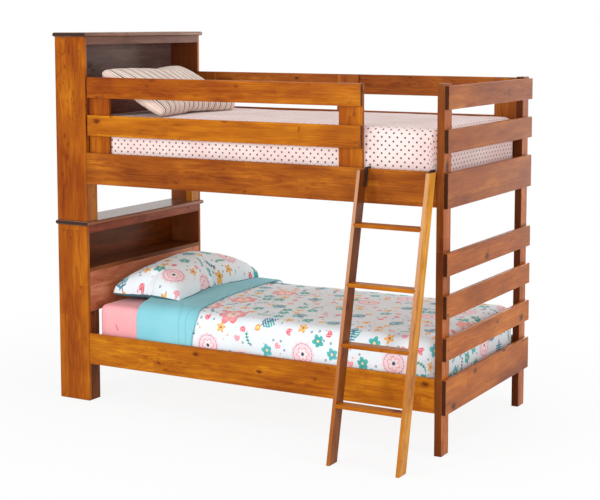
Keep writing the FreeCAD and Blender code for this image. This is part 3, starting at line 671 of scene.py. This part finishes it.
class Cover:
    """A cover over a mattress: flat on top, round over its shoulders and foot corners, and down the sides.

    end is how far along the bed it reaches, half its half width, base the height it stands on, and bottom
    and top the hem's and the top's heights above that. crown is how far the shoulders drop below the
    middle, and puff how far the skin moves in and out.
    """

    def __init__(self, end, base, half, bottom, top, radius, crown, puff, seed):
        self.end, self.base, self.top = end, base, top
        self.radius, self.crown, self.puff, self.seed = radius, crown, puff, seed
        self.flat = half - radius
        self.flat_end = end - radius
        # cloth from the flat top to the hem: a quarter turn, then straight down
        self.skirt = radius * math.pi / 2 + top - crown - radius - bottom

    def place(self, x, s, out=0.0):
        """The point x along the bed and s across the cloth, out from the cover; and its flat place as UV."""
        flat_x, flat_s = min(x, self.flat_end), min(max(s, -self.flat), self.flat)
        over_end, over_side = x - flat_x, abs(s - flat_s)
        reach = max(over_end, over_side)
        # round a foot corner the way down turns evenly from the foot to the side
        turn = min(over_end, over_side) / reach * math.pi / 4 if reach else 0.0
        if over_side > over_end:
            turn = math.pi / 2 - turn
        away = Vector((math.cos(turn), math.copysign(math.sin(turn), s), 0))
        plan = Vector((flat_x, flat_s, 0))
        angle = min(reach / self.radius, math.pi / 2)
        fall = self.radius * (1 - math.cos(angle)) + max(0.0, reach - self.radius * math.pi / 2)
        crown = self.crown * (plan.y / self.flat) ** 2
        steep = math.sin(angle)
        normal = away * steep + Vector((0, 0, math.cos(angle)))
        point = plan + away * self.radius * steep
        point += Vector((0, MIDDLE, self.base + self.top - crown - fall))
        soft = ripple(point, HOLLOWS, self.seed) + 0.5 * ripple(point, DENTS, self.seed + 2) - 0.35
        soft += 0.25 * ripple((point.x, point.y * 0.45, point.z), CREASES, self.seed + 5)
        point += normal * (out + self.puff * soft * (1 - 0.6 * steep))
        cloth = plan + away * reach
        return at(*point), (cloth.x / 1000, cloth.y / 1000)

    def across(self, spacing):
        steps = round((self.flat + self.skirt) * 2 / spacing)
        return np.linspace(-self.flat - self.skirt, self.flat + self.skirt, steps + 1)

    def sheet(self, name, start, spacing):
        """The whole cover, from its head-end line, a function of s, to its hem at the foot."""
        lines = self.across(spacing)
        count = round((self.end + self.skirt - start(0)) / spacing)
        rows = []
        for share in np.linspace(0, 1, count + 1):
            reach = [start(s) + (self.flat_end + self.skirt - start(s)) * share for s in lines]
            rows.append([self.place(x, s) for x, s in zip(reach, lines)])
        return woven(name, rows)


def smooth_rise(value, start, length):
    """0 up to the start, 1 from a length past it, and smooth between."""
    share = min(max((value - start) / length, 0.0), 1.0)
    return share * share * (3 - 2 * share)


def fold_line(s):
    """Where the comforter folds back: further up the bed behind the front shoulder."""
    front, setback = 292, 50
    return front - setback * smooth_rise(s, start=-470, length=220)


# Where the folded end's hem lies along the bed, from the front side to the back
HEM_PLACES = (-640, -560, -490, -349, -119, 192, 375, 483, 640)
HEM_REACHES = (618, 630, 652, 614, 588, 562, 570, 576, 570)


def hem_line(s):
    waver, wave_length = 4, 70
    return float(np.interp(s, HEM_PLACES, HEM_REACHES)) + waver * math.sin(s / wave_length)


comforter_shape = Cover(end=1937, base=310, half=485, bottom=4, top=212,
                        radius=56, crown=7, puff=5.0, seed=11)
coverlet_shape = Cover(end=1930, base=1250, half=484, bottom=18, top=236,
                       radius=40, crown=5, puff=3.0, seed=21)
# How thick the fold is, and how much the folded layer lifts between its fold and its hem
FOLD_RISE = 13
LAYER_LIFT = 4


def back_rise(s):
    """How much higher the folded end's hem lies towards the back."""
    most = 7
    return most * smooth_rise(s, start=250, length=180)


def turn_back(cover, spacing):
    """The comforter's top end, folded back over it: a second layer with a round fold at its head end."""
    lines = cover.across(spacing)
    half = FOLD_RISE / 2
    nose_steps, layer_steps = 7, 24
    angles = np.linspace(0.25, math.pi, nose_steps)
    nose = [(-half * math.sin(angle), half * (1 - math.cos(angle))) for angle in angles]
    rows = [[cover.place(fold_line(s) + forward, s, out) for s in lines] for forward, out in nose]
    for share in np.linspace(0, 1, layer_steps)[1:]:
        row = []
        for s in lines:
            x = fold_line(s) + (hem_line(s) - fold_line(s)) * share
            out = FOLD_RISE + LAYER_LIFT * math.sin(math.pi * share) * (0.6 + 0.4 * math.sin(s / 110))
            row.append(cover.place(x, s, out + back_rise(s) * share))
        rows.append(row)
    return woven("comforter_turn_back", rows)


def rolled_hem(cover, spacing, radius):
    """The printed edge of the folded end, rolled over its hem."""
    sides = 10
    rows = []
    for s in cover.across(spacing):
        centre = FOLD_RISE + back_rise(s) - radius
        row = []
        for n in range(sides + 1):
            angle = math.tau * n / sides
            forward = radius * (1 + 0.2 * ripple((s, 0, 0), CREASES, seed=71)) * math.cos(angle)
            point, (u, v) = cover.place(hem_line(s) + forward, s, centre + radius * math.sin(angle))
            row.append((point, (u + 0.3 + angle * radius / 1000, v)))
        rows.append(row)
    return woven("comforter_hem", rows)


comforter = comforter_shape.sheet("comforter", fold_line, spacing=16)
fold = turn_back(comforter_shape, spacing=14)
hem = rolled_hem(comforter_shape, spacing=14, radius=8.5)
coverlet = coverlet_shape.sheet("coverlet", lambda s: 32.0, spacing=16)
thicken(comforter, 0.010)
thicken(fold, 0.008)
thicken(coverlet, 0.004)
subdivide(hem)


def scatter(g, place, size, room, angle, salt):
    """One spot in each square of a turned grid: its centre and three random numbers."""
    cell = g.vector("FLOOR", g.vector("DIVIDE", g.turn(place, angle), (size, size, size)))

    def dice(salt):
        salted = g.vector("ADD", cell, (0.0, 0.0, salt))
        return g.add("TexWhiteNoise", {"Vector": salted}, noise_dimensions="3D").outputs["Color"]

    shift = g.centred(dice(salt), (room, room, 0.0))
    centre = g.vector("ADD", g.vector("ADD", cell, (0.5, 0.5, 0.0)), shift)
    centre = g.vector("MULTIPLY", centre, (size, size, 0.0))
    return g.turn(centre, -angle), g.split(dice(salt + 7.0))


def print_material(name, ground, shift):
    """Cotton printed with scattered flowers, leaves, sprigs and small rings on a pale ground."""
    material, g = new_material(name)
    place = g.vector("ADD", g.cloth_place(), (shift, shift * 0.37, 0.0))
    # hand-drawn edges: the print wavers a little
    waver = g.add("TexNoise", {"Vector": place, "Scale": 70.0, "Detail": 1.0}).outputs["Color"]
    drawn = g.vector("ADD", place, g.centred(waver, (0.005, 0.005, 0.0)))
    ink = linear(ground)
    colour = g.mix(g.step(g.noise(place, 4.0), 0.4, 0.7), ink, shaded(ink, 0.95))
    # for each kind of motif: a square's size, the room for chance in it, the grid's turn and its own salt
    large_cell = dict(size=0.235, room=0.26, angle=0.42, salt=3.0)
    medium_cell = dict(size=0.074, room=0.34, angle=-0.3, salt=11.0)
    small_cell = dict(size=0.039, room=0.6, angle=0.9, salt=23.0)

    def local(centre, twist, size=1.0):
        """Place round a centre, turned by chance and shrunk by a size: x, y, distance and direction."""
        turned = g.turn(g.vector("SUBTRACT", drawn, centre), g.product(twist, math.tau))
        x, y, _ = g.split(g.vector("DIVIDE", turned, (size, size, size)))
        return x, y, g.vector("LENGTH", g.combine(x, y)), g.math("ARCTAN2", y, x)

    def petals(direction, count, mean, depth):
        """The radius of an outline with that many round petals."""
        wave = g.size(g.cosine(g.product(direction, count / 2)))
        return g.scaled(wave, depth, mean - depth * 0.6)

    def leaf(x, y, start, length, width):
        """A pointed leaf along x."""
        along = g.ratio(g.less(x, start + length / 2), length / 2)
        bulge = g.less(1.0, g.power(g.size(along), 2.0))
        return g.near(y, g.product(bulge, width))

    def paint(tint, *masks):
        """Lays a colour where all the masks are 1."""
        nonlocal colour
        colour = g.mix(g.product(*masks), colour, tint)

    def discs(mask, *bands):
        """Paints filled outlines of (radius, colour) over each other, the widest first."""
        for radius, tint in bands:
            paint(tint, mask, g.below(r, radius))

    def clear_of(cell, distance):
        """1 for the spots that keep a distance from those of a wider grid."""
        other, _ = scatter(g, centre, **cell)
        return g.over(g.vector("DISTANCE", centre, other), distance)

    def either(chance, share, first, second):
        """One of two colours for a whole motif."""
        return g.mix(g.over(chance, share), first, second)

    # large motifs: a scalloped bloom, a pale bloom with a stitched ring, and a spray of striped leaves
    centre, (kind, twist, tint) = scatter(g, place, **large_cell)
    x, y, r, a = local(centre, twist, 1.42)
    bloom = g.under(kind, 0.3)
    rim = petals(a, count=7, mean=0.045, depth=0.017)
    coral = g.mix(g.step(r, 0.014, 0.05), "FCD9D0", either(tint, 0.5, "F59C8E", "F27C86"))
    discs(bloom, (rim, "CF4A60"), (g.less(rim, 0.0017), coral))
    between = g.near(g.cosine(g.product(a, 3.5)), 0.07, soft=0.03)
    paint("D9566A", bloom, between, g.among(r, 0.02, 0.042))
    rays = g.over(g.sine(g.product(a, 42.0)), 0.55)
    paint("E25D70", bloom, rays, g.among(r, 0.024, 0.034))
    inner = petals(a, count=9, mean=0.02, depth=0.006)
    discs(bloom, (inner, "FBE3E0"), (0.0095, "F0A43C"), (0.0035, "2F3F63"))
    pale = g.among(kind, 0.3, 0.55)
    discs(pale, (petals(a, count=12, mean=0.044, depth=0.007), "FAD7DF"))
    dashes = g.over(g.sine(g.product(a, 30.0)), -0.25)
    paint("2B3C62", pale, dashes, g.near(r, 0.0013, 0.036))
    inner = petals(a, count=6, mean=0.021, depth=0.01)
    discs(pale, (inner, "F2909A"), (g.less(inner, 0.0035), "FCE9EA"), (0.006, "2B3C62"))
    spray = g.over(kind, 0.55)
    stripes = g.zigzag(g.plus(x, 1.0), 0.0042)
    for lean, blue, length in ((0.0, "2C6FA0", 0.066), (0.8, "45B3B4", 0.057), (-0.8, "3A8FA8", 0.057)):
        p, q, _ = g.split(g.turn(g.combine(x, y), lean))
        blade = g.product(spray, leaf(p, q, start=-0.018, length=length, width=0.0145))
        paint(blue, blade)
        paint("F4F6F4", blade, g.over(stripes, 0.0028), g.near(q, 0.0085))
    paint("28385C", spray, g.near(y, 0.0011), g.among(x, -0.045, 0.03))
    # a bud at the foot of the spray
    r = g.vector("LENGTH", g.combine(g.plus(x, 0.03), y))
    discs(spray, (0.0105, "F0A43C"), (0.0055, "F7D489"))

    # medium motifs, only where no large one is near: a flower, a star, a pair of leaves and a bent sprig
    centre, (kind, twist, tint) = scatter(g, place, **medium_cell)
    free = clear_of(large_cell, 0.092)
    x, y, r, a = local(centre, twist, 1.2)
    flower = g.product(free, g.under(kind, 0.3))
    rim = petals(a, count=5, mean=0.0225, depth=0.011)
    discs(flower, (rim, either(tint, 0.5, "3FB3AC", "57BFC4")))
    veins = g.over(g.cosine(g.product(a, 15.0)), 0.7)
    paint("1F6F86", flower, veins, g.among(r, 0.007, 0.017))
    discs(flower, (0.0055, "F6DA8C"))
    star = g.product(free, g.among(kind, 0.3, 0.52))
    spike = g.zigzag(g.plus(a, math.tau), math.pi / 5)
    tips = g.scaled(spike, -0.022, 0.0235)
    discs(star, (tips, "F0A233"), (g.less(tips, 0.006), "F7C766"), (0.0042, "8A4A5E"))
    pair = g.product(free, g.among(kind, 0.52, 0.76))
    rosy = either(tint, 0.4, "F08C9C", "E4566C")
    for lean in (0.42, -0.42):
        p, q, _ = g.split(g.turn(g.combine(x, y), lean))
        blade = g.product(pair, leaf(p, q, start=-0.004, length=0.031, width=0.0075))
        paint(rosy, blade)
        paint("FBE6E4", blade, g.near(q, 0.0009))
    sprig = g.product(free, g.over(kind, 0.76))
    bent = g.scaled(g.product(x, x), 7.0, y)
    comb = g.product(g.zigzag(g.plus(x, 0.5), 0.0065), 1.5)
    paint(either(tint, 0.45, "48AFA2", "2E7E9C"), sprig, g.near(bent, comb), g.near(x, 0.028))
    paint("2B3C62", sprig, g.near(bent, 0.0009), g.near(x, 0.032))

    # small rings, dots and dashes in the open ground
    centre, (kind, twist, tint) = scatter(g, place, **small_cell)
    free = g.product(clear_of(large_cell, 0.08), clear_of(medium_cell, 0.034))
    x, y, r, _ = local(centre, twist)
    paint("3A4870", free, g.under(kind, 0.5), g.below(r, 0.0058), g.over(r, 0.0026))
    discs(g.product(free, g.among(kind, 0.5, 0.7)), (0.0036, "F08A84"))
    dash = leaf(x, y, start=-0.009, length=0.018, width=0.0035)
    paint(either(tint, 0.5, "48AFA2", "F0A84A"), free, g.over(kind, 0.8), dash)
    finish_cotton(g, colour, place, thread=0.0011, crease=15.0, depth=0.0016)
    return material


def quilting(g, colour, place):
    """Curved stitch lines, as on the back of a quilted cover, with a painted shade along each."""
    radius = 0.15
    pitch = 0.17
    x, y, _ = g.split(place)
    row = g.floor(g.ratio(y, pitch))
    shifted = g.plus(x, g.product(g.wrap(row, 2.0), pitch))
    du = g.less(g.wrap(shifted, 2 * pitch), pitch)
    dv = g.less(y, g.product(row, pitch))
    reach = g.vector("LENGTH", g.combine(du, dv))
    # painted shade in the soft groove along each stitch line
    soft = g.near(reach, 0.004, radius, soft=0.006)
    colour = g.mix(g.product(soft, 0.12), colour, "5FB0BC")
    line = g.near(reach, 0.0012, radius)
    return g.mix(g.product(line, 0.7), colour, "4FA3B0")


def dot_material():
    """Pale pink cotton with staggered plum dots."""
    material, g = new_material("dot_cotton")
    uv = g.cloth_place()
    u, v, _ = g.split(uv)
    pitch_u, pitch_v = 0.039, 0.037
    row = g.floor(g.ratio(v, pitch_v / 2))
    shift = g.product(g.wrap(row, 2.0), pitch_u / 2)
    du = g.less(g.wrap(g.plus(u, shift), pitch_u), pitch_u / 2)
    dv = g.less(g.wrap(v, pitch_v / 2), pitch_v / 4)
    frayed = g.scaled(g.noise(uv, 320.0), 0.0016, -0.0008)
    distance = g.plus(g.vector("LENGTH", g.combine(du, dv)), frayed)
    dot = g.below(distance, 0.0049, 0.0006)
    cloud = g.noise(uv, 5.0, 3.0, 0.5)
    ground = g.mix(g.step(cloud, 0.35, 0.7), "EEDAD5", "E8CCC8")
    finish_cotton(g, g.mix(dot, ground, "4E3240"), uv)
    return material


def stripe_material():
    """Cream and pink cotton with dark stripes of two weights."""
    material, g = new_material("stripe_cotton")
    uv = g.cloth_place()
    _, v, _ = g.split(uv)
    place = g.wrap(v, 0.048)

    def band(middle, half):
        return g.near(place, half, middle, soft=0.0004)

    cloud = g.noise(uv, 5.0, 3.0, 0.5)
    colour = g.mix(g.step(cloud, 0.35, 0.7), "EADCCB", "DFCDBD")
    colour = g.mix(g.product(band(0.036, 0.005), 0.6), colour, "DDB4AC")
    colour = g.mix(band(0.011, 0.0036), colour, "4C282B")
    colour = g.mix(band(0.0235, 0.002), colour, "7A5654")
    colour = g.mix(band(0.045, 0.0015), colour, "8A5F66")
    finish_cotton(g, colour, uv, thread=0.001, crease=20.0)
    return material


PRINT = print_material("print_cotton", "E6EEF4", 0.52)
AQUA = sheet_material("aqua_cotton", "84CAD6", "72BFCE", quilting)
dress_soft(comforter, "lower_bunk", "print_cotton", 0.3, PRINT, node="lower_comforter")
dress_soft(fold, "lower_bunk", "print_cotton", 0.3, AQUA)
dress_soft(hem, "lower_bunk", "print_cotton", 0.3, PRINT)
dress_soft(coverlet, "upper_bunk", "dot_cotton", 0.15, dot_material(), node="upper_coverlet")


# Pillows
def pillow(name, length, width, height, under, fullness, drawn, seed):
    """A stuffed case, two panels sewn at the rim and filled with air, on z = 0 with its length on Y.

    under is the share of its height that lies below the rim, fullness is small where the case stays thick
    towards its rim, and drawn is how much of the simulated movement it keeps.
    """
    rows, columns = 64, 36
    least_rise = 0.006
    first_bulge_share = 0.12
    points, faces, uvs, panels, index = [], [], [], [], {}
    for side in (1, -1):
        for key in range((rows + 1) * (columns + 1)):
            r, c = divmod(key, columns + 1)
            rim = r in (0, rows) or c in (0, columns)
            # both panels share the points of the rim
            if rim and side < 0:
                continue
            u, v = 2 * r / rows - 1, 2 * c / columns - 1
            # corners a little round, as sewn
            corner = 1 - 0.035 * (u * v) ** 8
            x, y, z = v * width / 2 * corner, u * length / 2 * corner, 0.0
            if not rim:
                z = side * (least_rise + first_bulge_share * height / 1000 * (1 - u**4) * (1 - v**4))
                z += 0.0015 * ripple((x, y, side * 70), 55, seed)
            index[key] = len(points)
            points.append(Vector((x / 1000, y / 1000, z)))
        for quad in grid_faces(rows + 1, columns + 1):
            quad = quad[::side]
            faces.append([index[key] for key in quad])
            panels.append(0 if side > 0 else 1)
            for key in quad:
                r, c = divmod(key, columns + 1)
                uvs.append(((c / columns - 0.5) * width / 1000, (r / rows - 0.5) * length / 1000))
    item = mesh_piece(name, points, faces, uvs)
    item.data.polygons.foreach_set("material_index", panels)
    fill_with_air(item, pressure=3.2, frames=26, most=0.14, share=drawn)
    found = np.array([v.co for v in item.data.vertices])
    low, high = found.min(axis=0), found.max(axis=0)
    middle = (low + high) / 2
    found -= (middle[0], middle[1], 0)
    found[:, 0] *= width / 1000 / (high[0] - low[0])
    found[:, 1] *= length / 1000 / (high[1] - low[1])
    # the underside is pressed flatter than the top
    above = found[:, 2] > 0
    share = np.where(above, found[:, 2] / high[2], found[:, 2] / low[2])
    full = np.maximum(share, 0) ** fullness * height / 1000
    found[:, 2] = np.where(above, full * (1 - under), -full * under) + height / 1000 * under
    item.data.vertices.foreach_set("co", found.ravel())
    item.data.update()
    return item


def set_down(item, centre, turn, tilt, ground):
    """Turns a pillow, puts its lowest point at a place of the bed, and keeps it above what it lies on."""
    gap_to_ground = 1.5
    turned = Matrix.Rotation(math.radians(turn), 3, "Z") @ Matrix.Rotation(math.radians(tilt), 3, "Y")
    points = [turned @ v.co * 1000 for v in item.data.vertices]
    low = min(p.z for p in points)
    placed = []
    for p in points:
        p = Vector((p.x + centre[0], p.y + centre[1], p.z - low + centre[2]))
        p.z = max(p.z, ground(p.x, p.y) + gap_to_ground)
        placed.append(at(*p))
    item.data.vertices.foreach_set("co", np.array(placed).ravel())
    item.data.update()
    subdivide(item)


def lower_ground(x, y):
    """Height of what the lower pillow lies on: the sheet, then the comforter and its folded end."""
    sheet = 506
    s = y - MIDDLE
    # the pillow bends up from the sheet to the fold just before it
    on_fold = smooth_rise(x, start=fold_line(s) - 26, length=30)
    cover, _ = comforter_shape.place(max(x, fold_line(s)), s, FOLD_RISE + LAYER_LIFT)
    return sheet + on_fold * ((cover.z + ORIGIN.z) * 1000 - sheet)


def upper_ground(x, y):
    cover, _ = coverlet_shape.place(x, y - MIDDLE, 1)
    return (cover.z + ORIGIN.z) * 1000


lower_pillow = pillow("lower_pillow_case", length=832, width=436, height=204,
                      under=0.16, fullness=0.62, drawn=0.65, seed=41)
set_down(lower_pillow, (226, 584, 507), turn=1, tilt=1, ground=lower_ground)
upper_pillow = pillow("upper_pillow_case", length=712, width=430, height=150,
                      under=0.42, fullness=0.6, drawn=0.35, seed=51)
set_down(upper_pillow, (207, 420, 1488), turn=0, tilt=28, ground=upper_ground)
PRINT_PALE = print_material("print_pillow", "ECF5FB", 1.7)
# painted shade: the lower pillow's aqua underside, darkened to teal
AQUA_PAINTED_SHADE = sheet_material("aqua_cotton_painted_shade", "2F7078", "265F68")
STRIPES = stripe_material()
dress_soft(lower_pillow, "lower_bunk", "print_cotton", 0.7, PRINT_PALE, AQUA_PAINTED_SHADE, node="lower_pillow")
dress_soft(upper_pillow, "upper_bunk", "stripe_cotton", 0.7, STRIPES, STRIPES, node="upper_pillow")


# Screws
def lathe(profile, centre, direction, segments=24):
    """A turned form: (radius, height) points spun round a direction, in millimetres of the bed frame."""
    turn = Vector((0, 0, 1)).rotation_difference(Vector(direction)).to_matrix()
    points = []
    for radius, height in profile:
        for n in range(segments):
            angle = math.tau * n / segments
            spun = Vector((radius * math.cos(angle), radius * math.sin(angle), height))
            points.append(at(*(turn @ spun + Vector(centre))))
    faces = []
    for r in range(len(profile) - 1):
        for n in range(segments):
            m = (n + 1) % segments
            low, high = r * segments, (r + 1) * segments
            faces.append((low + n, low + m, high + m, high + n))
    return points, faces


def guard_screws():
    """Pan-head screws that hold the guard posts to the boards and rails, as one piece for each side."""
    steel = metal_material("screw_steel", "3A3432", 0.8, 0.32, 90.0)
    # a hollow drive in the head, the pan, then the edge that meets the wood
    head = ((0.01, 0.7), (1.6, 0.7), (1.9, 2.4), (4.0, 2.5), (5.4, 1.7), (6.0, 0.6), (6.0, -0.2),
            (0.01, -0.2))
    post_width = 124
    inset = post_width * 0.22
    heights = (1275, 1436.5, 1629.5)
    # for each side: where its posts start along the bed, and the face that the screws sit on
    for side, starts, face, out in (("front", (9, 1445), 42, 1), ("back", (9, 913, 1817), 1018, -1)):
        points, faces = [], []
        for start in starts:
            for z in heights:
                found, quads = lathe(head, (start + inset, face, z), (0, out, 0))
                faces += [tuple(i + len(points) for i in quad) for quad in quads]
                points += found
        item = mesh_piece(f"{side}_guard_screws", points, faces)
        item.data.materials.append(steel)
        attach(item, "upper_bunk")


guard_screws()


# Floor and light
def stage_floor():
    """A pale floor that keeps the bed's shadow and fades to white away from it."""
    fade_start, fade_end = 1.2, 3.4
    reach = 30
    corners = ((-reach, -reach, 0), (reach, -reach, 0), (reach, reach, 0), (-reach, reach, 0))
    item = mesh_piece("floor", corners, [(0, 1, 2, 3)])
    material, g = new_material("floor")
    path = g.add("LightPath")
    seen = g.greatest(path.outputs["Is Camera Ray"], path.outputs["Is Glossy Ray"])
    far = g.step(g.vector("LENGTH", g.add("TexCoord").outputs["Object"]), fade_start, fade_end)
    matte = g.add("BsdfDiffuse", {"Color": (0.85, 0.85, 0.85, 1.0)})
    glow = g.add("Emission", {"Color": WHITE, "Strength": 1.0})
    # the shadow shows through what is left of the glow
    near_glow = 0.88
    share = g.product(seen, g.scaled(far, 1.0 - near_glow, near_glow))
    both = g.add("MixShader", {0: share, 1: matte.outputs[0], 2: glow.outputs[0]})
    g.add("OutputMaterial", {"Surface": both.outputs[0]})
    item.data.materials.append(material)


def studio():
    """Soft light from above and from all sides, with a white surround for the camera and for reflections."""
    world = bpy.data.worlds.new("studio")
    SCENE.world = world
    world.use_nodes = True
    world.node_tree.nodes.clear()
    g = Graph(world.node_tree)
    path = g.add("LightPath")
    seen = g.greatest(path.outputs["Is Camera Ray"], path.outputs["Is Transmission Ray"])
    seen = g.greatest(seen, path.outputs["Is Glossy Ray"])
    plain_level = 0.6
    strength = g.scaled(seen, 1.0 - plain_level, plain_level)
    back = g.add("Background", {"Color": WHITE, "Strength": strength})
    g.add("OutputWorld", {"Surface": back.outputs[0]})
    aim = Vector((0.1, 0.1, 0.8))
    # places and sizes in metres of the scene, and power in watts
    for name, place, size, power in (
        ("key", (-1.6, -5.2, 2.8), 1.2, 108),
        ("front_fill", (1.6, -6.0, 1.1), 2.4, 92),
        ("side", (5.6, -1.0, 2.2), 2.4, 92),
        ("top", (0.4, 0.4, 5.0), 3.2, 45),
        ("back_fill", (0.6, 5.2, 1.35), 2.4, 110),
    ):
        data = bpy.data.lights.new(name, "AREA")
        put(data, size=size, energy=power)
        item = new_object(name, data)
        item.location = place
        item.rotation_euler = (aim - Vector(place)).to_track_quat("-Z", "Y").to_euler()


stage_floor()
studio()
SCENE.view_settings.view_transform = "Standard"
